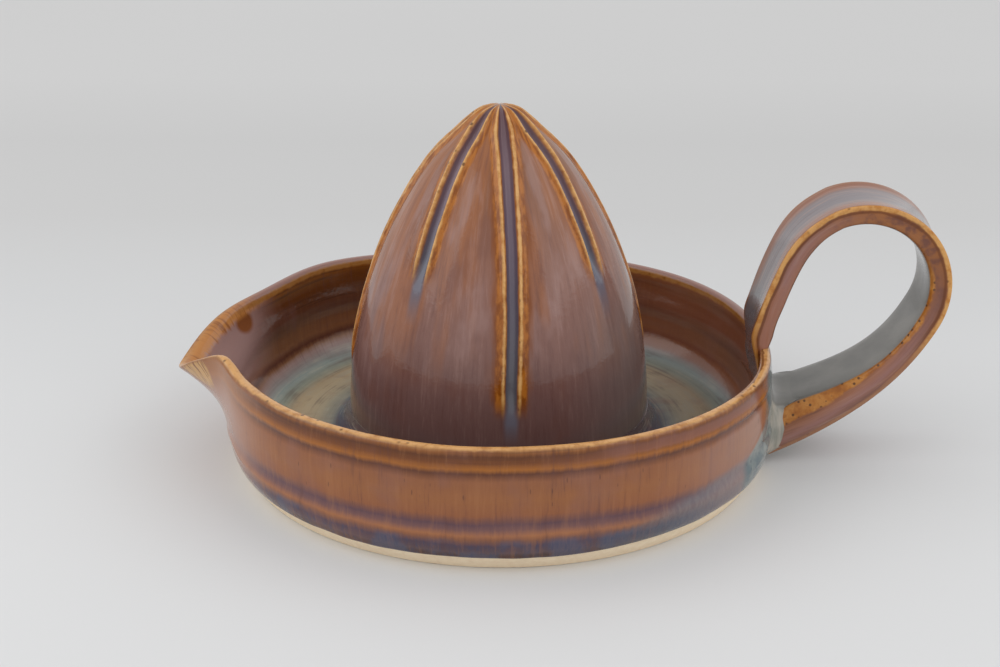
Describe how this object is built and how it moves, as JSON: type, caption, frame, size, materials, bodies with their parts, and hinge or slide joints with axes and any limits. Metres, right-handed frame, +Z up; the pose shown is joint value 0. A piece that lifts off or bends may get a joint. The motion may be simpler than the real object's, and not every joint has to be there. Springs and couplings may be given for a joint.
{
  "type": "citrus juicer",
  "caption": "Hand-thrown stoneware citrus juicer: a round dish with a pinched spout, a ribbed reamer in the middle and a pulled strap handle, in amber and mauve glaze.",
  "frame": {"origin": "centre of the flat foot, on the dish's axis at table level", "axes": "+X from the dish's axis towards the handle, -X towards the spout, +Y away from the picture's camera, +Z up along the dish's axis"},
  "size_m": [0.1871, 0.1344, 0.0868],
  "materials": {
    "amber_glaze": "glossy",
    "mauve_glaze": "glossy",
    "pooled_glaze": "glossy"
  },
  "bodies": {
    "root": {"dish": "amber_glaze", "reamer": "mauve_glaze", "handle": "mauve_glaze", "reamer_luting_coil": "pooled_glaze", "handle_luting_coil": "pooled_glaze"}
  },
  "joints": []
}
